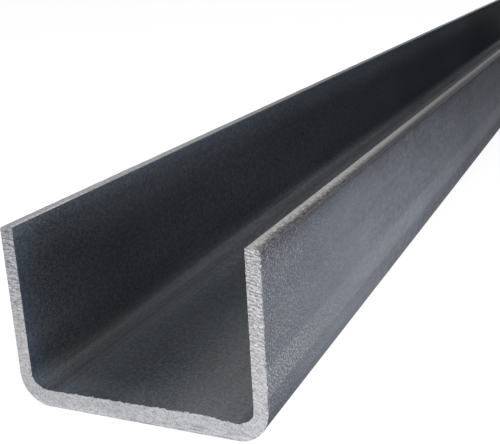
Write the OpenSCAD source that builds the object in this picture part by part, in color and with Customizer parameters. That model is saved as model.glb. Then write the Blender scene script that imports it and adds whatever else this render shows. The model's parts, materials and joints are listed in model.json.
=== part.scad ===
// Steel channel, cold-formed: one strip of plate with two equal flanges bent up from the web.
// It lies on the back of its web with the trough open upwards. X runs across the web, Y along
// the length and Z up the flanges. The origin is on the underside of the web, at mid length.

/* [Section] */
// Overall width, across the backs of the two flanges
web_w = 72; // [60:1:160]
// Height of the flanges, from the underside of the web
flange_h = 50; // [30:1:120]
// Thickness of the plate, one value for the web, the bends and the flanges
plate_t = 3.75; // [2:0.25:8]
// Inside radius of the two bends
bend_r = 5; // [2:0.5:12]

/* [Slit edges] */
// Smooth flat land along the inner side of each flange's edge, as a share of the plate
land_share = 0.45; // [0.3:0.05:0.6]
// Rolled-over outer arris of each flange's edge, as a share of the plate
roll_share = 0.2; // [0.1:0.05:0.3]
// Fall of the torn band, from the land down to the rolled arris
tear_fall = 0.15; // [0.05:0.05:0.4]
// Broken inner arris of each flange's edge
arris = 0.25; // [0.1:0.05:0.4]

/* [Stock] */
// Length, between the two sawn ends
length = 1000; // [200:50:6000]

/* [Hidden] */

// The outer face of a bend is concentric with its inner face.
bend_outer_r = bend_r + plate_t;
// Each bend turns about this point, left and right of the middle plane.
bend_x = web_w / 2 - bend_outer_r;
bend_z = bend_outer_r;
land_w = land_share * plate_t;
roll_r = roll_share * plate_t;
// A cutter runs this far past the face that it cuts.
past = 1;
$fn = 96;

// What slitting takes off the square edge of a flange. The origin is on the inner face at the
// full height, with +X towards the outer face.
module slit_edge_waste() {
    // Torn band, falling from the land towards the outer face
    polygon([
        [land_w, 0],
        [plate_t - roll_r, -tear_fall],
        [plate_t + past, -tear_fall],
        [plate_t + past, past],
        [land_w, past]
    ]);
    // Outer arris, rolled over
    translate([plate_t - roll_r, -tear_fall - roll_r])
        difference() {
            square(roll_r + past);
            circle(r = roll_r);
        }
    // Inner arris, broken at 45 degrees
    polygon([[arris, 0], [arris, past], [-past, past], [-past, -arris], [0, -arris]]);
}

// Straight part of a flange, from the bend up to its slit edge, on the right-hand side
module flange_section() {
    translate([web_w / 2 - plate_t, bend_z])
        difference() {
            square([plate_t, flange_h - bend_z]);
            translate([0, flange_h - bend_z]) slit_edge_waste();
        }
}

// Quarter ring of one bend, from the web round to the flange, on the right-hand side
module bend_section() {
    translate([bend_x, bend_z])
        intersection() {
            difference() {
                circle(r = bend_outer_r);
                circle(r = bend_r);
            }
            translate([0, -bend_outer_r]) square(bend_outer_r);
        }
}

// Flat part of the web, between the two bends
module web_section() {
    translate([-bend_x, 0]) square([2 * bend_x, plate_t]);
}

module channel_section() {
    web_section();
    for (side = [0, 1])
        mirror([side, 0]) {
            bend_section();
            flange_section();
        }
}

module channel() {
    color([0.30, 0.31, 0.33])
        rotate([90, 0, 0])
            linear_extrude(height = length, center = true)
                channel_section();
}

channel();
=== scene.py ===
"""Visual model of a steel channel: mill scale on the rolled faces, sawn ends and slit flange edges."""
import json
import math
from itertools import groupby

import bpy
from mathutils import Matrix, Vector, noise


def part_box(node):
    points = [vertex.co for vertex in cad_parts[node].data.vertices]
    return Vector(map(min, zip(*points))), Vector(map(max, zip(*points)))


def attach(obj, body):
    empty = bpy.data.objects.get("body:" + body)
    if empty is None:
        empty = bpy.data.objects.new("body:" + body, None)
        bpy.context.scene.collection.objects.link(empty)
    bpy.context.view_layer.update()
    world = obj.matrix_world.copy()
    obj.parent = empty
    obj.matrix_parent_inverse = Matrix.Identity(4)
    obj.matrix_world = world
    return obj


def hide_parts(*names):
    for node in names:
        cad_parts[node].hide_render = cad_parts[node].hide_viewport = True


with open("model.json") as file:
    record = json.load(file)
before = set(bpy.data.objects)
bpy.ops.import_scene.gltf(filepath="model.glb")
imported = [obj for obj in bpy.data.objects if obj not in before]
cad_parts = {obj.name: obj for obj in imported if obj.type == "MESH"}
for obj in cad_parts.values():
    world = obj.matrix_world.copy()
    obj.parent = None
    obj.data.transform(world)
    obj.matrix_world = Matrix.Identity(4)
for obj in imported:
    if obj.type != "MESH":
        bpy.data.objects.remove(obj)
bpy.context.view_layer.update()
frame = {"record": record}

MM = 0.001

# ---------------------------------------------------------------- section, in millimetres
# X runs across the web, Y along the channel with the photographed end at the lower limit, and Z up.
low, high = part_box("channel")
mounts = {m["name"]: m for m in frame["record"]["mounts"]}
HALF_W = high.x / MM
FLANGE_H = high.z / MM
HALF_LEN = high.y / MM
PLATE_T = mounts["web_floor"]["pos_m"][2] / MM
BEND_R = 5.0
BEND_OUTER_R = BEND_R + PLATE_T
BEND_X = HALF_W - BEND_OUTER_R
FLANGE_FROM = BEND_X + 0.5 * math.pi * (BEND_R + 0.5 * PLATE_T)     # round the strip, from mid web
STRIP_HALF = FLANGE_FROM + FLANGE_H - BEND_OUTER_R

# Slit edge of a flange, as in the solid: a broken arris, a land, a torn band and a rolled arris
ARRIS = 0.25
LAND_W = 0.45 * PLATE_T
TEAR_FALL = 0.15
ROLL_R = 0.2 * PLATE_T
ROLL_FROM = PLATE_T - ROLL_R
TIP_BLEND = 2.5          # the edge's shape fades out this far down the flange

# ---------------------------------------------------------------- mesh density
FLANGE_CELLS = 160
BEND_CELLS = 44
WEB_CELLS = 208
EDGE_CELLS = 5           # across the land, and across the torn band
ROLL_CELLS = 4
FLAT_STEP = 8            # the long faces keep every eighth station on the flats
BEND_STEP = 4            # and every fourth round the bends
FINE_RINGS = (0.0, 0.12, 0.3, 0.6, 1.1)     # distances from a sawn end; the steps grow after them
FIRST_STEP = 0.7
STEP_GROWTH = 1.03
LONGEST_STEP = 6.0
SHARP_ANGLE = math.radians(38.0)


def smooth(a, b, x):
    """0 at a and 1 at b, smooth between and level beyond. Where a is the larger, it falls with x."""
    t = min(1.0, max(0.0, (x - a) / (b - a)))
    return t * t * (3.0 - 2.0 * t)


def across_plate():
    """Distances from the inner face to the outer face, closer together where the edge is shaped."""
    land = [ARRIS + (LAND_W - ARRIS) * i / EDGE_CELLS for i in range(EDGE_CELLS + 1)]
    tear = [LAND_W + (ROLL_FROM - LAND_W) * i / EDGE_CELLS for i in range(1, EDGE_CELLS + 1)]
    turns = [math.radians(90.0 * i / ROLL_CELLS) for i in range(1, ROLL_CELLS + 1)]
    return [0.0] + land + tear + [ROLL_FROM + ROLL_R * math.sin(a) for a in turns]


def edge_drop(n):
    """How far the slit edge lies below the flange's full height, at n from the inner face."""
    if n < ARRIS:
        return ARRIS - n
    if n < LAND_W:
        return 0.0
    if n <= ROLL_FROM:
        return TEAR_FALL * (n - LAND_W) / (ROLL_FROM - LAND_W)
    u = min(n - ROLL_FROM, ROLL_R)
    return TEAR_FALL + ROLL_R - math.sqrt(ROLL_R ** 2 - u ** 2)


class Station:
    """One line across the plate: a point on the inner face and the direction to the outer face."""

    def __init__(self, kind, x, z, out_x, out_z, tip=0.0):
        self.kind, self.x, self.z = kind, x, z
        self.out_x, self.out_z = out_x, out_z
        self.tip = tip       # 1 at the slit edge, and 0 below it

    def point(self, n):
        """The point at n from the inner face."""
        drop = edge_drop(n) * self.tip
        return self.x + self.out_x * n, self.z + self.out_z * n - drop


def flange_stations(side):
    """From the bend up to the slit edge."""
    x = side * (HALF_W - PLATE_T)
    rows = []
    for i in range(FLANGE_CELLS + 1):
        z = BEND_OUTER_R + (FLANGE_H - BEND_OUTER_R) * i / FLANGE_CELLS
        tip = smooth(FLANGE_H - TIP_BLEND, FLANGE_H, z)
        rows.append(Station("flange", x, z, side, 0.0, tip))
    return rows


def bend_stations(side):
    """From the web round to the flange, without its two ends."""
    rows = []
    for i in range(1, BEND_CELLS):
        a = math.radians(90.0) * i / BEND_CELLS
        out_x, out_z = side * math.sin(a), -math.cos(a)
        rows.append(Station("bend", side * BEND_X + BEND_R * out_x,
                            BEND_OUTER_R + BEND_R * out_z, out_x, out_z))
    return rows


def web_stations():
    """From the left-hand bend to the right-hand one."""
    rows = []
    for i in range(WEB_CELLS + 1):
        x = -BEND_X + 2.0 * BEND_X * i / WEB_CELLS
        rows.append(Station("web", x, PLATE_T, 0.0, -1.0))
    return rows


def section_stations():
    """The whole section, from the left-hand slit edge to the right-hand one."""
    return (flange_stations(-1)[::-1] + bend_stations(-1)[::-1] + web_stations()
            + bend_stations(1) + flange_stations(1))


def kept_stations(stations):
    """Which stations the long faces keep: the first and last of each part, and some between them."""
    kept, start = set(), 0
    for kind, part in groupby(stations, key=lambda station: station.kind):
        stop = start + len(list(part))
        kept.update(range(start, stop, BEND_STEP if kind == "bend" else FLAT_STEP))
        kept.add(stop - 1)
        start = stop
    return kept


def distances_around(stations):
    """Distance of each station round the middle of the plate, from mid web."""
    middles = [s.point(0.5 * PLATE_T) for s in stations]
    total, found = 0.0, [0.0]
    for a, b in zip(middles, middles[1:]):
        total += math.dist(a, b)
        found.append(total)
    return [d - 0.5 * total for d in found]


# ---------------------------------------------------------------- relief, in millimetres
ROW_STEP = 0.85          # between the rows of marks that the saw leaves up a flange
WIDE_ROW_STEP = 1.6      # and between the coarser ones on the left-hand flange
ROW_SLANT = 0.24         # how far the rows fall for each millimetre across
LEFT_SLANT = 0.05        # and on the left-hand flange
HATCH_SLANT = 0.50       # and the fine hatching between them

# Sawn face: how deep the saw's marks are, and the sizes of the dashes and of the speckle in them
SAW_MEAN, SAW_DEEPEST = 0.12, 0.30
DASH_DEPTH, DASH_STEP, DASH_LENGTH = 0.14, 0.55, 1.5
SPECKLE_DEPTH, SPECKLE_SIZE = 0.03, 0.5

# Torn lip along the web at a sawn end, as (place across, height), and its unevenness
LIP = ((-27.3, 0.95), (-19.0, 1.15), (-7.0, 1.34), (5.0, 1.45), (17.0, 1.75), (20.5, 1.60),
       (24.0, 1.20), (27.3, 0.95))
LIP_END_Z = 8.4          # it ends this high up the bends
LIP_SWELL, LIP_TEETH = 0.10, 0.20       # as shares of its height
LIP_CRUMBS = 0.14

# Nicks along the outer edge of a sawn end, and tears along a slit edge
NICK_MEAN, NICK_ROUGH, NICK_ROWS = 0.05, 0.18, 0.16
TEAR_MEAN, TEAR_COARSE, TEAR_FINE = 0.08, 0.09, 0.06
RELIEF_REACH = 0.9       # the lip and the nicks fade out this far from the cut

END_SEED = 100.0         # sets the two sawn ends' patterns apart
EDGE_SHIFT = 300.0       # and the two slit edges'


def wave(a, b, seed):
    """Smooth noise from -1 to 1. One unit of a or b is about one feature."""
    return noise.noise(Vector((a, b, seed)))


def along_line(stops, x):
    """The height at x of straight lines through the stops."""
    for (x0, h0), (x1, h1) in zip(stops, stops[1:]):
        if x <= x1:
            t = min(1.0, max(0.0, (x - x0) / (x1 - x0)))
            return h0 + (h1 - h0) * t
    return stops[-1][1]


def saw_depth(x, z, seed):
    """Depth of the saw's marks below the sawn face. They run across, in the blade's direction."""
    row = z + (LEFT_SLANT if x < 0.0 else ROW_SLANT) * x
    dashes = wave(row / DASH_STEP, x / DASH_LENGTH, seed)
    speckle = wave(x / SPECKLE_SIZE, z / SPECKLE_SIZE, seed + 3.1)
    high_up = 0.5 + 0.5 * smooth(4.0, 12.0, z)
    depth = SAW_MEAN + high_up * DASH_DEPTH * dashes + SPECKLE_DEPTH * speckle
    return min(SAW_DEEPEST, max(0.0, depth))


def burr_height(station, seed):
    """Height of the torn lip that the saw leaves along the inner edge of a sawn end."""
    x, z = station.x, station.z
    coarse = wave(x / 1.6, z / 1.6, seed + 21.0)
    teeth = wave(x / 0.45, z / 0.45, seed + 43.0)
    base = along_line(LIP, x) * smooth(LIP_END_Z, PLATE_T, z)
    uneven = 1.0 + LIP_SWELL * coarse + LIP_TEETH * teeth
    return base * uneven + LIP_CRUMBS * max(0.0, coarse + teeth)


def arris_nick(station, seed):
    """How far the outer edge of a sawn end is nicked back."""
    rough = wave(station.x / 0.8, station.z / 0.8, seed + 61.0)
    rows = math.sin(2.0 * math.pi * (station.z / ROW_STEP + 0.8 * rough))
    on_flange = smooth(6.0, 14.0, station.z) * smooth(FLANGE_H - 0.5, FLANGE_H - 3.0, station.z)
    return NICK_MEAN + NICK_ROUGH * max(0.0, rough) + NICK_ROWS * on_flange * max(0.0, rows)


def torn_relief(y, n):
    """Depth of the torn band along a slit edge."""
    band = smooth(LAND_W - 0.1, LAND_W + 0.3, n)
    coarse = wave(y / 1.6, n / 0.7, 5.0)
    fine = wave(y / 0.6, n / 0.4, 15.0)
    return band * (TEAR_MEAN + TEAR_COARSE * coarse + TEAR_FINE * fine)


# ---------------------------------------------------------------- channel mesh
MILL, SAWN, SLIT = 0, 1, 2              # the order in which the piece gets its materials
UNROLLED = "unrolled"
SIDE_STEP = 40.0         # sets the patterns of the inner and the outer face far apart


def loop_of(last, width):
    """The closed outline of the section as (station number, distance number), inner face first."""
    loop = [(k, 0) for k in range(last + 1)]
    loop += [(last, j) for j in range(1, width)]
    loop += [(k, width) for k in range(last, -1, -1)]
    loop += [(0, j) for j in range(width - 1, 0, -1)]
    return loop


def ring_depths():
    """Distances of the long faces' coarse rings from a sawn end, up to mid length."""
    depths, step = [], FIRST_STEP
    d = FINE_RINGS[-1] + step
    while d < HALF_LEN - 0.6 * LONGEST_STEP:
        depths.append(d)
        step = min(LONGEST_STEP, step * STEP_GROWTH)
        d += step
    return depths


class ChannelSurface:
    """The closed surface: two sawn ends, and rings of points along the long faces between them.

    A ring follows the section's outline at one distance from a sawn end. The rings nearest to the
    ends have a point at every station, and the others only at the kept ones.
    """

    def __init__(self):
        self.points, self.unrolled, self.faces, self.slots = [], [], [], []
        self.stations, self.across = section_stations(), across_plate()
        self.last, self.width = len(self.stations) - 1, len(self.across) - 1
        self.around = distances_around(self.stations)
        self.loop = loop_of(self.last, self.width)
        kept = kept_stations(self.stations)
        self.coarse = [i for i, (k, j) in enumerate(self.loop) if k in kept or 0 < j < self.width]

    def add_point(self, x, y, z, k, j):
        """A point, kept inside the solid's box, and its place on the strip before it was bent."""
        self.unrolled.append((self.around[k] * MM, y * MM, self.across[j] * SIDE_STEP * MM))
        x = min(HALF_W, max(-HALF_W, x))
        y = min(HALF_LEN, max(-HALF_LEN, y))
        z = min(FLANGE_H, max(0.0, z))
        self.points.append((x * MM, y * MM, z * MM))
        return len(self.points) - 1

    def add_face(self, corners, slot, end):
        """A face whose corners are listed for the back end; the front end's run the other way."""
        self.faces.append(tuple(corners) if end > 0 else tuple(reversed(corners)))
        self.slots.append(slot)

    def slot_between(self, i, i2):
        """The finish between two neighbouring places of the outline."""
        k, k2 = self.loop[i][0], self.loop[i2][0]
        return SLIT if k == k2 and k in (0, self.last) else MILL

    def ring_point(self, k, j, end, depth, sunk=0.0):
        """A point on a long face, with the relief that it has at this depth from a sawn end."""
        s, n = self.stations[k], self.across[j]
        y = end * (HALF_LEN - depth - sunk)
        x, z = s.point(n)
        near = smooth(RELIEF_REACH, 0.0, depth)
        if j == 0 and near > 0.0:
            lift = burr_height(s, end * END_SEED) * near * near
            x, z = x - s.out_x * lift, z - s.out_z * lift
        if j == self.width and near > 0.0:
            back = arris_nick(s, end * END_SEED) * near * near
            x, z = x - s.out_x * back, z - s.out_z * back
        if k in (0, self.last):
            z -= torn_relief(y + EDGE_SHIFT * (k > 0), n)
        return self.add_point(x, y, z, k, j)

    def sawn_point(self, k, j, end):
        """A point of a sawn face, sunk by the saw's marks. One on the outline has a ring's relief too."""
        x, z = self.stations[k].point(self.across[j])
        sunk = saw_depth(x, z, end * END_SEED)
        if j in (0, self.width) or k in (0, self.last):
            return self.ring_point(k, j, end, 0.0, sunk)
        return self.add_point(x, end * (HALF_LEN - sunk), z, k, j)

    def sawn_face(self, end):
        """Fills a sawn end; returns its outline as the first ring."""
        grid = {(k, j): self.sawn_point(k, j, end)
                for k in range(self.last + 1) for j in range(self.width + 1)}
        for k in range(self.last):
            for j in range(self.width):
                quad = (grid[k, j], grid[k + 1, j], grid[k + 1, j + 1], grid[k, j + 1])
                self.add_face(quad, SAWN, end)
        return [grid[place] for place in self.loop]

    def half(self, end):
        """One sawn end and the long faces up to mid length; returns the last ring."""
        ring = self.sawn_face(end)
        for depth in FINE_RINGS[1:]:
            new = [self.ring_point(k, j, end, depth) for k, j in self.loop]
            self.join_rings(ring, new, end, range(len(self.loop)))
            ring = new
        for number, depth in enumerate(ring_depths()):
            new = [self.ring_point(*self.loop[i], end, depth) for i in self.coarse]
            if number == 0:
                self.join_fine_to_coarse(ring, new, end)
            else:
                self.join_rings(ring, new, end, self.coarse)
            ring = new
        return ring

    def join_rings(self, a, b, end, places):
        """Quads between two rings that have points at the same places of the outline."""
        for i in range(len(a)):
            i2 = (i + 1) % len(a)
            slot = self.slot_between(places[i], places[i2])
            self.add_face((a[i], b[i], b[i2], a[i2]), slot, end)

    def join_fine_to_coarse(self, fine, rough, end):
        """Triangles between the last fine ring and the first coarse one."""
        for c, start in enumerate(self.coarse):
            c2 = (c + 1) % len(self.coarse)
            stop = self.coarse[c2]
            span = (stop - start) % len(self.loop)
            middle = max(1, span // 2)
            run = [fine[(start + i) % len(self.loop)] for i in range(span + 1)]
            slot = self.slot_between(start, stop)
            for i in range(middle):
                self.add_face((run[i], rough[c], run[i + 1]), slot, end)
            self.add_face((run[middle], rough[c], rough[c2]), slot, end)
            for i in range(middle, span):
                self.add_face((run[i], rough[c2], run[i + 1]), slot, end)


def build_channel():
    """The whole channel as one mesh, with the place on the unbent strip kept at each point."""
    surface = ChannelSurface()
    front, back = surface.half(-1), surface.half(1)
    surface.join_rings(front, back, -1, surface.coarse)

    mesh = bpy.data.meshes.new("channel_surface")
    mesh.from_pydata(surface.points, [], surface.faces)
    mesh.polygons.foreach_set("material_index", surface.slots)
    unrolled = mesh.attributes.new(UNROLLED, "FLOAT_VECTOR", "POINT")
    unrolled.data.foreach_set("vector", [v for point in surface.unrolled for v in point])
    mesh.validate()
    mesh.update()
    mesh.shade_smooth()
    mesh.set_sharp_from_angle(angle=SHARP_ANGLE)
    piece = bpy.data.objects.new("steel_channel", mesh)
    bpy.context.scene.collection.objects.link(piece)
    return piece


# ---------------------------------------------------------------- materials
class Finish:
    """The node tree of one material. Sizes are in millimetres, and each method returns a socket."""

    def __init__(self, name, coordinates="unrolled"):
        self.material = bpy.data.materials.new(name)
        self.material.use_nodes = True
        self.tree = self.material.node_tree
        self.surface = self.tree.nodes["Principled BSDF"]
        self.surface.distribution = "MULTI_GGX"
        if coordinates == "unrolled":
            source = self.add("ShaderNodeAttribute")
            source.attribute_name = UNROLLED
            self.place = source.outputs["Vector"]
        else:
            self.place = self.add("ShaderNodeTexCoord").outputs["Object"]

    def add(self, kind):
        return self.tree.nodes.new(kind)

    def feed(self, socket, value):
        """A socket takes another's output, a number or a colour."""
        if isinstance(value, bpy.types.NodeSocket):
            self.tree.links.new(value, socket)
        elif isinstance(value, tuple) and socket.type == "RGBA":
            socket.default_value = (*value, 1.0)
        else:
            socket.default_value = value

    def dress(self, color, metallic, roughness, normal):
        """Feeds the shader and returns the material."""
        for name, value in (("Base Color", color), ("Metallic", metallic),
                            ("Roughness", roughness), ("Normal", normal)):
            self.feed(self.surface.inputs[name], value)
        return self.material

    def math(self, operation, a, b=0.0):
        node = self.add("ShaderNodeMath")
        node.operation = operation
        self.feed(node.inputs[0], a)
        self.feed(node.inputs[1], b)
        return node.outputs[0]

    def plus(self, a, b):
        return self.math("ADD", a, b)

    def minus(self, a, b):
        return self.math("SUBTRACT", a, b)

    def larger(self, a, b):
        return self.math("MAXIMUM", a, b)

    def times(self, first, *others):
        """The product of two or more numbers."""
        for other in others:
            first = self.math("MULTIPLY", first, other)
        return first

    def straight(self, value, low, high):
        """0 to 1 in a straight line from low to high."""
        node = self.add("ShaderNodeMapRange")
        self.feed(node.inputs["Value"], value)
        self.feed(node.inputs["From Min"], low)
        self.feed(node.inputs["From Max"], high)
        return node.outputs["Result"]

    def ramp(self, value, low, high, start=0.0, stop=1.0):
        """A smooth step: start where the value is low, and stop where it is high."""
        node = self.add("ShaderNodeMapRange")
        node.interpolation_type = "SMOOTHSTEP"
        for name, v in (("Value", value), ("From Min", low), ("From Max", high),
                        ("To Min", start), ("To Max", stop)):
            self.feed(node.inputs[name], v)
        return node.outputs["Result"]

    def between(self, value, start, full, full_to, stop):
        """1 where the value is from full to full_to, and 0 beyond start and stop."""
        return self.times(self.ramp(value, start, full), self.ramp(value, stop, full_to))

    def blend(self, mask, off, on):
        """One number where the mask is 0 and the other where it is 1."""
        return self.ramp(mask, 0.0, 1.0, off, on)

    def swing(self, value, low, high):
        """-1 to 1 as the value goes from low to high."""
        return self.ramp(value, low, high, -1.0, 1.0)

    def profile(self, value, stops):
        """A smooth curve through stops of (value in millimetres, level up to 2)."""
        first, last = stops[0][0], stops[-1][0]
        node = self.add("ShaderNodeValToRGB")
        curve = node.color_ramp
        curve.interpolation = "B_SPLINE"
        while len(curve.elements) < len(stops):
            curve.elements.new(0.5)
        for element, (position, level) in zip(curve.elements, stops):
            element.position = (position - first) / (last - first)
            element.color = (0.5 * level, 0.5 * level, 0.5 * level, 1.0)
        self.feed(node.inputs["Fac"], self.straight(value, first, last))
        return self.times(node.outputs["Color"], 2.0)

    def place_in(self, axis):
        """One coordinate, in millimetres."""
        node = self.add("ShaderNodeSeparateXYZ")
        self.feed(node.inputs[0], self.place)
        return self.math("DIVIDE", node.outputs[axis], MM)

    def slant(self, amount):
        """Patterns made after this one fall by this much more for each millimetre across."""
        split = self.add("ShaderNodeSeparateXYZ")
        self.feed(split.inputs[0], self.place)
        joined = self.add("ShaderNodeCombineXYZ")
        self.feed(joined.inputs[0], split.outputs[0])
        self.feed(joined.inputs[1], split.outputs[1])
        self.feed(joined.inputs[2], self.plus(split.outputs[2], self.times(split.outputs[0], amount)))
        self.place = joined.outputs[0]

    def noise(self, across, along, detail=2.0, roughness=0.5, turn=0.0, seed=0.0, side=None):
        """Noise from 0 to 1 whose features are this wide and this long, turned by some degrees."""
        turned = self.add("ShaderNodeMapping")
        turned.inputs["Rotation"].default_value = (0.0, 0.0, math.radians(turn))
        self.feed(turned.inputs["Vector"], self.place)
        mapping = self.add("ShaderNodeMapping")
        side = side or across
        mapping.inputs["Scale"].default_value = [1.0 / (MM * s) for s in (across, along, side)]
        mapping.inputs["Location"].default_value = (seed, 2.0 * seed, 3.0 * seed)
        self.feed(mapping.inputs["Vector"], turned.outputs[0])
        node = self.add("ShaderNodeTexNoise")
        node.inputs["Scale"].default_value = 1.0
        node.inputs["Detail"].default_value = detail
        node.inputs["Roughness"].default_value = roughness
        self.feed(node.inputs["Vector"], mapping.outputs[0])
        return node.outputs["Fac"]

    def mix(self, factor, a, b, blend="MIX"):
        """Colour a where the factor is 0, and b, or a blended with b, where it is 1."""
        node = self.add("ShaderNodeMix")
        node.data_type = "RGBA"
        node.blend_type = blend
        node.clamp_factor = True
        self.feed(node.inputs["Factor"], factor)
        self.feed(node.inputs[6], a)
        self.feed(node.inputs[7], b)
        return node.outputs[2]

    def scaled(self, color, factor):
        """A colour times a number."""
        node = self.add("ShaderNodeVectorMath")
        node.operation = "SCALE"
        self.feed(node.inputs[0], color)
        self.feed(node.inputs["Scale"], factor)
        return node.outputs[0]

    def bump(self, height, depth):
        """A normal from a height of 0 to 1 that stands for this depth in millimetres."""
        node = self.add("ShaderNodeBump")
        node.inputs["Distance"].default_value = depth * MM
        self.feed(node.inputs["Height"], height)
        return node.outputs["Normal"]


# Painted light and shade round the strip, as (distance from mid web in mm, level): at the left-hand
# bend the inner face's dip is painted shade, and its peak just inside on the web a painted highlight.
# The inner face's runs from the left-hand edge to the right-hand one, and the outer face's is the same
# on both sides.
INNER_PAINTED_SHADING = ((-79.2, 0.94), (-77.3, 0.98), (-75.0, 1.28), (-71.5, 1.22), (-68.0, 1.04), (-64.5, 0.94),
              (-57.0, 1.16), (-50.0, 1.46), (-43.0, 1.58), (-38.0, 1.50), (-36.0, 1.33), (-34.5, 1.05),
              (-33.0, 0.67), (-31.5, 0.64), (-30.0, 0.66), (-28.5, 1.18), (-26.5, 1.92), (-24.5, 1.66),
              (-22.0, 1.36), (-18.0, 0.95), (-14.0, 0.78), (-9.0, 0.67), (-4.0, 0.71), (2.0, 0.79),
              (8.0, 0.95), (13.0, 1.13), (20.0, 1.10), (30.0, 0.98), (40.0, 1.20), (60.0, 1.05),
              (79.2, 0.90))
OUTER_PAINTED_SHADING = ((0.0, 0.90), (28.0, 0.90), (35.0, 0.90), (37.5, 0.90), (40.0, 0.87), (43.0, 0.91),
              (46.0, 0.96), (49.0, 0.89), (52.5, 0.875), (57.0, 0.91), (62.0, 0.845), (67.0, 0.81),
              (71.0, 0.775), (74.0, 0.695), (76.5, 0.60), (78.0, 0.49), (79.2, 0.43))
# Painted light and shade along the faces, as (distance from the cut in mm, level); the bend's high
# levels are a painted highlight
OUTER_SHADING_ALONG = ((0.0, 0.77), (5.0, 0.78), (12.0, 0.82), (25.0, 0.855), (45.0, 1.03), (70.0, 1.17),
               (100.0, 1.25), (160.0, 1.20), (250.0, 0.94), (330.0, 0.86), (500.0, 0.85))
FLANGE_SHADING_ALONG = ((0.0, 1.00), (3.0, 0.90), (6.0, 0.76), (12.0, 0.60), (22.0, 0.57), (40.0, 0.76),
                (65.0, 0.92), (100.0, 1.00), (150.0, 1.06), (300.0, 0.98), (400.0, 0.78), (500.0, 0.70))
BEND_SHADING_ALONG = ((0.0, 1.28), (6.0, 1.02), (11.0, 0.73), (22.0, 0.64), (40.0, 0.95), (70.0, 1.22),
              (110.0, 1.20), (150.0, 1.55), (200.0, 1.85), (270.0, 1.80), (360.0, 1.30), (500.0, 1.25))
WEB_SHADING_ALONG = ((0.0, 1.00), (12.0, 0.94), (24.0, 0.94), (42.0, 0.97), (65.0, 1.12), (110.0, 1.30),
             (500.0, 1.22))
# Tone up a sawn end, as (height in mm, level), on the two sides; its fall towards the top of the
# flanges, most on the left-hand one, is painted shade
SAWN_LEFT = ((0.0, 1.18), (0.9, 1.12), (2.0, 0.97), (3.6, 0.88), (6.0, 0.95), (9.0, 0.99),
             (20.0, 0.98), (32.0, 0.92), (42.0, 0.79), (50.0, 0.63))
SAWN_RIGHT = ((0.0, 1.14), (0.9, 1.12), (2.0, 1.01), (3.6, 0.92), (6.0, 0.98), (9.0, 1.02),
              (20.0, 1.03), (32.0, 0.96), (50.0, 0.87))
# Tone across a slit edge, as (distance from its inner face in mm, level): the torn band is darker steel,
# and the lowest levels, over the rolled arris, are painted shade
SLIT_TONE_AND_SHADE = ((0.0, 0.98), (0.4, 1.04), (1.3, 1.00), (1.7, 0.88), (2.05, 0.68), (2.4, 0.48),
             (2.75, 0.34), (3.05, 0.23), (3.3, 0.15), (3.6, 0.10), (3.8, 0.10))
# Painted shade along the slit edges, darker away from the cut, as (distance from the cut in mm, level)
RIGHT_SLIT_SHADE = ((0.0, 1.07), (40.0, 1.02), (80.0, 0.83), (120.0, 0.60), (160.0, 0.38), (210.0, 0.20),
                   (270.0, 0.08), (350.0, 0.05), (500.0, 0.05))
LEFT_SLIT_SHADE = ((0.0, 0.88), (40.0, 0.90), (80.0, 0.83), (120.0, 0.68), (160.0, 0.52), (210.0, 0.36),
                  (270.0, 0.18), (350.0, 0.08), (500.0, 0.05))

# Places round the strip, as distances from mid web: the web's finish turns to the bends' over a
# short way, and a scuffed band with a painted highlight along it runs along the foot of each flange's
# outer face.
WEB_TO, BEND_FROM = BEND_X - 5.0, BEND_X
SCUFF_SHEEN_FROM, SCUFF_SHEEN_TO = 41.9, 50.0

# Colours, as linear red, green and blue
WHITE = (1.0, 1.0, 1.0)
BLUE_OXIDE, TAN_OXIDE = (0.113, 0.1205, 0.139), (0.1165, 0.121, 0.129)
BROWN_STAIN = (0.124, 0.116, 0.110)
WEB_LEFT_TINT, WEB_RIGHT_TINT = (0.98, 1.02, 1.01), (1.02, 1.005, 0.975)
BLUE_EDGE_TINT = (0.87, 1.02, 1.18)
EDGE_DARK_LINE = (0.040, 0.037, 0.038)
SPECK, SCUFFED_SPECK = (0.232, 0.243, 0.270), (0.236, 0.239, 0.245)
OUTER_RIM, INNER_RIM = (0.17, 0.17, 0.18), (0.42, 0.42, 0.43)
GRAZING_TINT = (0.3, 0.3, 0.3)
SAWN_GREY, SAWN_BLUE = (0.361, 0.361, 0.375), (0.352, 0.368, 0.402)
SHEARED, TORN = (0.262, 0.259, 0.250), (0.252, 0.242, 0.262)
LEFT_SHEARED, LEFT_LINE = (0.256, 0.262, 0.260), (0.258, 0.258, 0.270)

BUMP_DEPTH, SLIT_BUMP_DEPTH = 0.05, 0.06        # in millimetres


class RolledFace:
    """Where a point of the rolled faces lies: distances in millimetres, and masks from 0 to 1."""

    def __init__(self, f):
        self.around = f.place_in("X")                       # round the strip, from mid web
        self.length = f.place_in("Y")
        self.off_middle = f.math("ABSOLUTE", self.around)
        self.from_cut = f.minus(HALF_LEN, f.math("ABSOLUTE", self.length))
        self.from_edge = f.minus(STRIP_HALF, self.off_middle)
        depth = SIDE_STEP * PLATE_T
        self.outside = f.ramp(f.place_in("Z"), 0.2 * depth, 0.8 * depth)
        self.inside = f.minus(1.0, self.outside)
        self.web = f.times(f.ramp(self.off_middle, BEND_FROM, WEB_TO), self.inside)
        self.bend = f.times(f.between(self.off_middle, WEB_TO, BEND_FROM,
                                      FLANGE_FROM - 1.0, FLANGE_FROM + 3.0), self.inside)
        self.scuffed_and_sheen = f.times(f.between(self.off_middle, SCUFF_SHEEN_FROM - 0.2, SCUFF_SHEEN_FROM + 0.2,
                                         SCUFF_SHEEN_TO - 1.5, SCUFF_SHEEN_TO + 1.5), self.outside)


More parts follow.
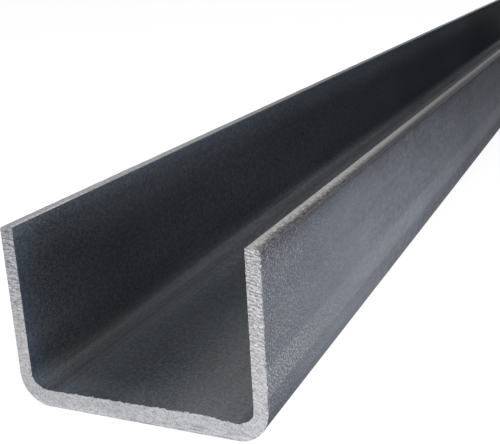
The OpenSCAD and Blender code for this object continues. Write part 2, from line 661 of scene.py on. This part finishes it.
def mill_scale():
    """Hot-rolled skin: blue-grey oxide with clouds, rolling streaks, a fine grain, specks and scuffs,
    under painted light and shade by place.
    """
    f = Finish("mill_scale")
    at = RolledFace(f)
    hue = f.noise(9.0, 22.0, detail=3.0, seed=11.0)
    grain = f.noise(0.46, 0.55, detail=3.0, roughness=0.65, seed=31.0)
    dust = f.noise(0.46, 0.62, detail=1.0, seed=47.0)

    color = oxide_color(f, at, hue)
    # Painted light and shade by place, over the fine patterns.
    color = f.scaled(color, f.times(fine_tone(f, at, grain), painted_shading(f, at)))
    # Painted highlight along the scuffed band, growing from 1.01 to 1.13 away from the cut.
    color = f.scaled(color, f.mix(at.scuffed_and_sheen, WHITE, f.ramp(at.from_cut, 30.0, 80.0, 1.01, 1.13)))
    color = f.mix(blue_edge(f, at), color, BLUE_EDGE_TINT, "MULTIPLY")
    # A ragged dark line on the outer face, under the slit edges.
    color = f.mix(dark_line_under_edge(f, at), color, EDGE_DARK_LINE)
    color = f.mix(light_marks(f, at, hue, dust), color, f.mix(at.scuffed_and_sheen, SPECK, SCUFFED_SPECK))
    color = f.mix(torn_rim(f, at), color, f.mix(at.inside, OUTER_RIM, INNER_RIM))

    f.feed(f.surface.inputs["Specular Tint"], GRAZING_TINT)
    height = f.plus(f.times(grain, 0.7), f.times(dust, 0.3))
    return f.dress(color, 1.0, f.ramp(grain, 0.2, 0.8, 0.44, 0.58), f.bump(height, BUMP_DEPTH))


def oxide_color(f, at, hue):
    """Blue-grey, turning to tan in clouds, in the bends and on the web, with brown stains on the web."""
    tan = f.plus(f.times(f.ramp(hue, 0.50, 0.72), 0.7), f.times(at.bend, 0.9))
    color = f.mix(f.larger(tan, f.times(at.web, 0.60)), BLUE_OXIDE, TAN_OXIDE)
    stains = f.ramp(f.noise(5.0, 6.0, detail=4.0, roughness=0.6, seed=37.0), 0.54, 0.70)
    color = f.mix(f.times(stains, at.web, 0.5), color, BROWN_STAIN)
    web_tint = f.mix(f.ramp(at.around, -2.0, 18.0), WEB_LEFT_TINT, WEB_RIGHT_TINT)
    return f.mix(at.web, color, web_tint, "MULTIPLY")


def fine_tone(f, at, grain):
    """Level of the fine patterns together: grain, clouds, mottling and rolling streaks."""
    near_cut = f.blend(f.ramp(at.from_cut, 70.0, 10.0), 0.13, 0.32)
    grain_share = f.times(f.plus(near_cut, f.times(at.inside, 0.03)), f.blend(at.web, 1.0, 0.76))
    clouds = f.ramp(f.noise(14.0, 55.0, detail=3.0), 0.30, 0.70, 0.93, 1.07)
    tone = f.plus(clouds, f.times(f.swing(grain, 0.28, 0.72), grain_share))
    tone = f.plus(tone, mottling(f, at))
    streaks = f.swing(f.noise(1.3, 110.0, detail=3.0, seed=23.0), 0.3, 0.7)
    streak_share = f.plus(f.times(at.bend, f.ramp(at.from_cut, 110.0, 30.0, 0.05, 0.12)), 0.03)
    return f.plus(tone, f.times(streaks, streak_share))


def mottling(f, at):
    """Small light and dark blotches, strongest on the inner face, and longer ones away from the ends."""
    calm = f.larger(at.bend, f.times(at.web, f.ramp(at.around, -2.0, 16.0, 0.30, 1.0)))
    small = f.ramp(f.noise(1.0, 1.6, detail=2.0, roughness=0.6, seed=109.0), 0.36, 0.70, -0.62, 1.0)
    small_share = f.plus(f.minus(f.times(at.inside, 0.24), f.times(calm, 0.13)), 0.03)
    long = f.ramp(f.noise(1.7, 3.8, detail=2.0, roughness=0.6, seed=113.0), 0.36, 0.70, -0.62, 1.0)
    long_share = f.plus(f.plus(f.times(at.inside, 0.06), f.times(at.web, 0.08)), 0.13)
    long_share = f.times(long_share, f.ramp(at.from_cut, 25.0, 140.0))
    return f.plus(f.times(small, small_share), f.times(long, long_share))


def painted_shading(f, at):
    """The broad painted light and shade of the rolled faces."""
    return f.mix(at.outside, inner_painted_shading(f, at), outer_painted_shading(f, at))


def outer_painted_shading(f, at):
    """Painted light and shade on the outer face; away from the cut, painted shade darkens the bend and
    the flange.
    """
    level = f.times(f.profile(at.off_middle, OUTER_PAINTED_SHADING), f.profile(at.from_cut, OUTER_SHADING_ALONG))
    # Painted shade: darker on the bend and up the flange, away from the cut.
    on_bend = f.times(f.ramp(at.from_cut, 60.0, 120.0), f.ramp(at.off_middle, 44.0, 36.0))
    up_flange = f.times(f.ramp(at.from_cut, 40.0, 150.0), f.ramp(at.off_middle, 44.0, 74.0))
    return f.times(level, f.blend(on_bend, 1.0, 0.95), f.blend(up_flange, 1.0, 0.78))


def inner_painted_shading(f, at):
    """Painted light and shade on the inner face: along the web, bends and flanges, with four patches of
    their own.
    """
    # Painted light: the web's left-hand side is lighter near the cut.
    left_of_cut = f.times(f.ramp(at.from_cut, 18.0, 4.0), f.ramp(at.around, 6.0, -6.0))
    web = f.times(f.profile(at.from_cut, WEB_SHADING_ALONG), f.blend(left_of_cut, 1.0, 1.28))
    on_bend = f.ramp(at.off_middle, FLANGE_FROM - 6.0, FLANGE_FROM - 3.0)
    on_flange = f.ramp(at.off_middle, FLANGE_FROM - 1.0, FLANGE_FROM + 3.0)
    along = f.mix(on_bend, web, f.profile(at.from_cut, BEND_SHADING_ALONG))
    along = f.mix(on_flange, along, f.profile(at.from_cut, FLANGE_SHADING_ALONG))

    # Painted shade: at the left-hand flange's foot near the cut, up its top, and along its far stretch.
    foot = f.times(f.ramp(at.from_cut, 28.0, 8.0), f.between(at.around, -50.0, -42.0, -40.0, -37.0))
    top = f.times(f.between(at.from_cut, 80.0, 160.0, 250.0, 380.0), f.ramp(at.around, -62.0, -70.0))
    far = f.times(f.between(at.length, 0.0, 230.0, 300.0, 430.0), f.ramp(at.around, -34.0, -42.0))
    along = f.times(along, f.blend(foot, 1.0, 0.80), f.blend(top, 1.0, 0.83), f.blend(far, 1.0, 0.50))
    return f.times(f.profile(at.around, INNER_PAINTED_SHADING), along)


def blue_edge(f, at):
    """Where the inner face turns blue: close to a cut and under a slit edge, most on the left."""
    drift = f.ramp(f.noise(5.0, 4.0, detail=3.0, seed=59.0), 0.3, 0.7, -3.0, 3.0)
    by_cut = f.ramp(f.plus(at.from_cut, drift), 12.0, 0.0)
    by_edge = f.times(f.ramp(at.from_edge, 8.0, 1.0), 0.7)
    return f.times(f.larger(by_cut, by_edge), f.ramp(at.around, -10.0, -45.0, 0.2, 1.0), at.inside)


def dark_line_under_edge(f, at):
    """A ragged dark line on the outer face under a slit edge."""
    ragged = f.noise(1.2, 4.0, detail=3.0, roughness=0.65, seed=67.0)
    under_edge = f.plus(f.math("DIVIDE", at.from_edge, 3.2), ragged)
    return f.times(f.ramp(under_edge, 1.15, 0.65), at.outside, 0.6)


def light_marks(f, at, hue, dust):
    """Specks, fine scuffs, and slanting ticks on the web."""
    patches = f.ramp(f.noise(8.0, 15.0, detail=2.0, seed=53.0), 0.42, 0.60)
    marks = f.larger(light_specks(f, at, dust, patches), f.times(fine_scuffs(f), patches))
    ticks = f.ramp(f.noise(0.42, 1.0, turn=30.0, detail=1.0, seed=103.0), 0.655, 0.745)
    ticks = f.times(ticks, f.ramp(hue, 0.40, 0.60, 0.1, 1.0), at.web, 0.75)
    return f.larger(marks, ticks)


def light_specks(f, at, dust, patches):
    """Small light spots: thick in the scuffed band, thinner elsewhere, fewest far from a sawn end."""
    plain = f.times(f.ramp(dust, 0.56, 0.69), f.blend(patches, 0.43, 0.54))
    up_flange = f.ramp(at.off_middle, FLANGE_FROM - 2.0, FLANGE_FROM + 4.0, 0.55, 1.0)
    plain = f.times(plain, f.mix(at.inside, WHITE, up_flange))
    scuffed_and_sheen = f.times(f.ramp(dust, 0.49, 0.64), at.scuffed_and_sheen, 0.82)
    return f.times(f.larger(plain, scuffed_and_sheen), f.ramp(at.from_cut, 60.0, 15.0, 0.35, 1.0))


def fine_scuffs(f):
    """Short thin scratches in two directions."""
    one = f.ramp(f.noise(0.14, 3.5, turn=24.0, detail=1.0, seed=71.0), 0.66, 0.74)
    other = f.ramp(f.noise(0.14, 2.5, turn=-38.0, detail=1.0, seed=83.0), 0.66, 0.74)
    return f.times(f.larger(one, other), 0.5)


def torn_rim(f, at):
    """The bare torn line right at the cut, faint up the flanges."""
    torn = f.noise(0.9, 1.0, detail=2.0, seed=97.0)
    rim = f.ramp(f.minus(at.from_cut, f.ramp(torn, 0.35, 0.65, 0.0, 0.5)), 0.12, 0.0)
    return f.times(rim, f.ramp(at.off_middle, FLANGE_FROM + 4.0, FLANGE_FROM - 4.0, 0.3, 1.0))


def sawn_steel():
    """Bright steel behind the saw: rows of torn dashes up the flanges, and thin lines along the web."""
    f = Finish("sawn_steel", "object")
    side, height = f.place_in("X"), f.place_in("Z")
    left = f.ramp(side, 2.0, -2.0)
    right = f.minus(1.0, left)
    lines = f.noise(5.5, 9.0, side=0.16, detail=1.0, seed=9.0)
    clouds = f.noise(4.0, 9.0, side=4.0, detail=2.0, seed=29.0)
    cut = saw_dashes(f, height, left, right)
    f.slant(HATCH_SLANT - ROW_SLANT)
    hatching = f.noise(0.42, 9.0, side=0.24, detail=1.0, roughness=0.6, seed=19.0)

    strength = f.times(f.ramp(height, 12.0, 44.0, 0.42, 1.10), f.ramp(height, 3.5, 10.0))
    light = f.times(f.ramp(cut, 0.52, 0.66), strength)
    low_lines = f.times(f.ramp(lines, 0.50, 0.38), f.ramp(height, 3.0, 1.8),
                        f.ramp(side, -16.0, 2.0, 0.2, 0.7))
    dark = f.larger(f.times(f.ramp(cut, 0.50, 0.36), strength), low_lines)
    dark = f.larger(dark, f.times(f.ramp(hatching, 0.48, 0.34), 0.62))

    # Painted shade: darker towards the top of the flanges, most on the left-hand one.
    level = f.plus(f.times(f.profile(height, SAWN_LEFT), left),
                   f.times(f.profile(height, SAWN_RIGHT), right))
    level = f.times(level, f.ramp(clouds, 0.3, 0.7, 0.96, 1.04), f.blend(dark, 1.06, 0.50),
                    f.blend(light, 1.0, 1.24), f.ramp(hatching, 0.45, 0.65, 0.94, 1.18))
    bluish = f.larger(f.times(left, f.ramp(height, 25.0, 48.0)), f.ramp(height, 8.0, 4.0, 0.0, 0.25))
    color = f.scaled(f.mix(bluish, SAWN_GREY, SAWN_BLUE), level)
    return f.dress(color, 0.5, f.ramp(hatching, 0.2, 0.8, 0.44, 0.60),
                   f.bump(f.minus(1.0, dark), BUMP_DEPTH))


def saw_dashes(f, height, left, right):
    """Torn dashes on a sawn end, around 0.5: long ones on the left, short ones in rows on the right."""
    f.slant(LEFT_SLANT)
    long_dashes = f.noise(1.4, 9.0, side=0.24, detail=3.0, roughness=0.6, seed=7.0)
    f.slant(ROW_SLANT - LEFT_SLANT)
    sway = f.noise(2.4, 9.0, side=1.8, detail=2.0, seed=41.0)
    short_dashes = f.noise(0.65, 9.0, side=0.25, detail=2.0, roughness=0.6, seed=3.0)
    right_cut = f.plus(short_dashes, f.times(saw_rows(f, sway, ROW_STEP), 0.08))
    wide = f.times(saw_rows(f, sway, WIDE_ROW_STEP), f.ramp(height, 32.0, 40.0, 0.02, 0.08))
    left_cut = f.plus(f.plus(f.times(f.minus(long_dashes, 0.5), 1.55), wide), 0.5)
    return f.plus(f.times(right_cut, right), f.times(left_cut, left))


def saw_rows(f, sway, step):
    """Waves from -1 to 1 up the sawn face, this far apart."""
    phase = f.plus(f.math("DIVIDE", f.place_in("Z"), step), f.times(sway, 1.3))
    return f.math("SINE", f.times(phase, 2.0 * math.pi))


def slit_steel():
    """Edge of the strip: a bright sheared land inside, falling off to a dark torn band outside, and
    painted shade that darkens it away from the cut.
    """
    f = Finish("slit_steel", "object")
    across = f.minus(f.math("ABSOLUTE", f.place_in("X")), HALF_W - PLATE_T)
    from_cut = f.minus(HALF_LEN, f.math("ABSOLUTE", f.place_in("Y")))
    right = f.ramp(f.place_in("X"), -1.0, 1.0)
    near = f.ramp(from_cut, 150.0, 20.0)
    rub = f.noise(0.30, 10.0, detail=3.0, seed=5.0)
    ticks = f.noise(0.8, 0.60, detail=3.0, roughness=0.65, seed=15.0)
    ragged = f.noise(0.8, 1.7, detail=3.0, roughness=0.7, seed=25.0)

    wander = f.times(f.swing(ragged, 0.3, 0.7), f.blend(near, 0.15, 0.65))
    narrowing = f.ramp(from_cut, 3.0, 14.0, -0.4, 0.0)
    # The sheared land and torn band, with painted shade over the rolled arris.
    land_and_shade = f.profile(f.plus(f.plus(across, wander), narrowing), SLIT_TONE_AND_SHADE)
    # Painted shade along the right-hand edge, with a floor that rises to 0.07 far from the cut.
    right_level = f.larger(f.times(land_and_shade, f.profile(from_cut, RIGHT_SLIT_SHADE)),
                           f.ramp(from_cut, 60.0, 220.0, 0.0, 0.07))
    right_color = f.mix(f.ramp(land_and_shade, 0.85, 0.45), SHEARED, TORN)

    line = f.times(f.ramp(from_cut, 60.0, 12.0), f.ramp(ragged, 0.30, 0.50, 0.4, 1.0))
    left_level = f.ramp(across, 0.35, 0.90, f.blend(line, 1.05, 1.45), f.blend(line, 0.92, 0.82))
    # Painted shade along the left-hand edge.
    left_level = f.times(left_level, f.profile(from_cut, LEFT_SLIT_SHADE))
    left_color = f.mix(line, LEFT_SHEARED, LEFT_LINE)

    rough = f.times(f.swing(ticks, 0.3, 0.7), f.blend(near, 0.12, 0.34))
    marks = f.plus(f.ramp(rub, 0.3, 0.7, 0.88, 1.08), rough)
    color = f.scaled(f.mix(right, left_color, right_color),
                     f.times(f.mix(right, left_level, right_level), marks))
    return f.dress(color, 0.9, f.ramp(across, 1.8, 3.0, 0.46, 0.62), f.bump(ticks, SLIT_BUMP_DEPTH))


# ---------------------------------------------------------------- studio, in metres
WORLD_LEVEL = 0.9        # what the white surroundings give the object
FLOOR_HALF = 12.0
FLOOR_WHITE = 0.80
FLOOR_GLOW = 0.86        # share of the floor's white that needs no lamp, so its shadow stays light

# Lamps, as (name, place from the near end, size, power in watts)
LAMPS = (("low_right", (0.449, 0.0, 0.024), 0.07, 4.9),
         ("front_right", (0.376, -0.217, 0.116), 0.18, 2.3),
         ("upper_left", (-0.400, 0.0, 0.693), 0.70, 4.0))

AZIMUTH, ELEVATION, ROLL = math.radians(24.51), math.radians(17.09), math.radians(3.18)
AIM = Vector((0.01262, low.y + 0.04706, 0.04036))
DISTANCE = 0.25
LENS_MM, SENSOR_MM = 63.83, 36.0


def seen_directly(tree):
    """1 where the view, a reflection or a refraction meets the surface, and 0 where it lights others."""
    path = tree.nodes.new("ShaderNodeLightPath")
    found = path.outputs["Is Camera Ray"]
    for name in ("Is Glossy Ray", "Is Transmission Ray"):
        either = tree.nodes.new("ShaderNodeMath")
        either.operation = "MAXIMUM"
        tree.links.new(found, either.inputs[0])
        tree.links.new(path.outputs[name], either.inputs[1])
        found = either.outputs[0]
    return found


def grey(node, level, strength=None):
    """Sets a shader node to white or grey, and its strength where it has one; returns its output."""
    node.inputs["Color"].default_value = (level, level, level, 1.0)
    if strength is not None:
        node.inputs["Strength"].default_value = strength
    return node.outputs[0]


def lit_or_seen(tree, lit, seen, output):
    """One shader where the surface lights others, and another where it is seen."""
    mix = tree.nodes.new("ShaderNodeMixShader")
    tree.links.new(seen_directly(tree), mix.inputs["Fac"])
    tree.links.new(lit, mix.inputs[1])
    tree.links.new(seen, mix.inputs[2])
    tree.links.new(mix.outputs[0], tree.nodes[output].inputs["Surface"])


def make_world():
    """White where it is seen, and a plain level of light on the object."""
    world = bpy.data.worlds.new("studio")
    world.use_nodes = True
    tree = world.node_tree
    lit = grey(tree.nodes["Background"], 1.0, WORLD_LEVEL)
    seen = grey(tree.nodes.new("ShaderNodeBackground"), 1.0, 1.0)
    lit_or_seen(tree, lit, seen, "World Output")
    bpy.context.scene.world = world


def make_floor():
    """A pale floor that looks white and keeps the channel's shadow."""
    mesh = bpy.data.meshes.new("floor")
    half = FLOOR_HALF
    mesh.from_pydata([(-half, -half, 0), (half, -half, 0), (half, half, 0), (-half, half, 0)],
                     [], [(0, 1, 2, 3)])
    floor = bpy.data.objects.new("floor", mesh)
    bpy.context.scene.collection.objects.link(floor)
    mesh.materials.append(floor_white())


def floor_white():
    """Plain white for the light it throws back; where it is seen, mostly a glow that a shadow dims."""
    material = bpy.data.materials.new("pale_floor")
    material.use_nodes = True
    tree = material.node_tree
    tree.nodes.remove(tree.nodes["Principled BSDF"])
    plain = grey(tree.nodes.new("ShaderNodeBsdfDiffuse"), FLOOR_WHITE)
    faint = grey(tree.nodes.new("ShaderNodeBsdfDiffuse"), 1.0 - FLOOR_GLOW)
    glow = grey(tree.nodes.new("ShaderNodeEmission"), 1.0, FLOOR_GLOW)
    both = tree.nodes.new("ShaderNodeAddShader")
    tree.links.new(faint, both.inputs[0])
    tree.links.new(glow, both.inputs[1])
    lit_or_seen(tree, plain, both.outputs[0], "Material Output")
    return material


def softbox(name, at, target, size, power):
    """A square lamp that the camera doesn't see."""
    data = bpy.data.lights.new(name, "AREA")
    data.shape = "SQUARE"
    data.size = size
    data.energy = power
    lamp = bpy.data.objects.new(name, data)
    lamp.location = at
    lamp.rotation_euler = (target - at).to_track_quat("-Z", "Y").to_euler()
    lamp.visible_camera = False
    bpy.context.scene.collection.objects.link(lamp)


def light_studio():
    """A low lamp and a higher one on the right of the near end, and a large soft one at upper left."""
    near_end = Vector((0.0, low.y + 0.05, 0.02))
    for name, place, size, power in LAMPS:
        softbox(name, near_end + Vector(place), near_end, size, power)


def make_camera():
    """The photograph's view of the near end."""
    forward = Vector((-math.sin(AZIMUTH) * math.cos(ELEVATION),
                      math.cos(AZIMUTH) * math.cos(ELEVATION),
                      -math.sin(ELEVATION)))
    right = forward.cross(Vector((0, 0, 1))).normalized()
    up = right.cross(forward)
    rolled_right = right * math.cos(ROLL) - up * math.sin(ROLL)
    rolled_up = up * math.cos(ROLL) + right * math.sin(ROLL)
    data = bpy.data.cameras.new("camera")
    data.lens = LENS_MM
    data.sensor_width = SENSOR_MM
    data.sensor_fit = "HORIZONTAL"
    data.clip_start = 0.01
    camera = bpy.data.objects.new("camera", data)
    rotation = Matrix((rolled_right, rolled_up, -forward)).transposed().to_4x4()
    camera.matrix_world = Matrix.Translation(AIM - forward * DISTANCE) @ rotation
    bpy.context.scene.collection.objects.link(camera)
    bpy.context.scene.camera = camera


channel = build_channel()
for finish in (mill_scale(), sawn_steel(), slit_steel()):
    channel.data.materials.append(finish)
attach(channel, "root")
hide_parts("channel")

make_world()
make_floor()
light_studio()
make_camera()
bpy.context.scene.view_settings.view_transform = "Standard"

bpy.context.view_layer.update()
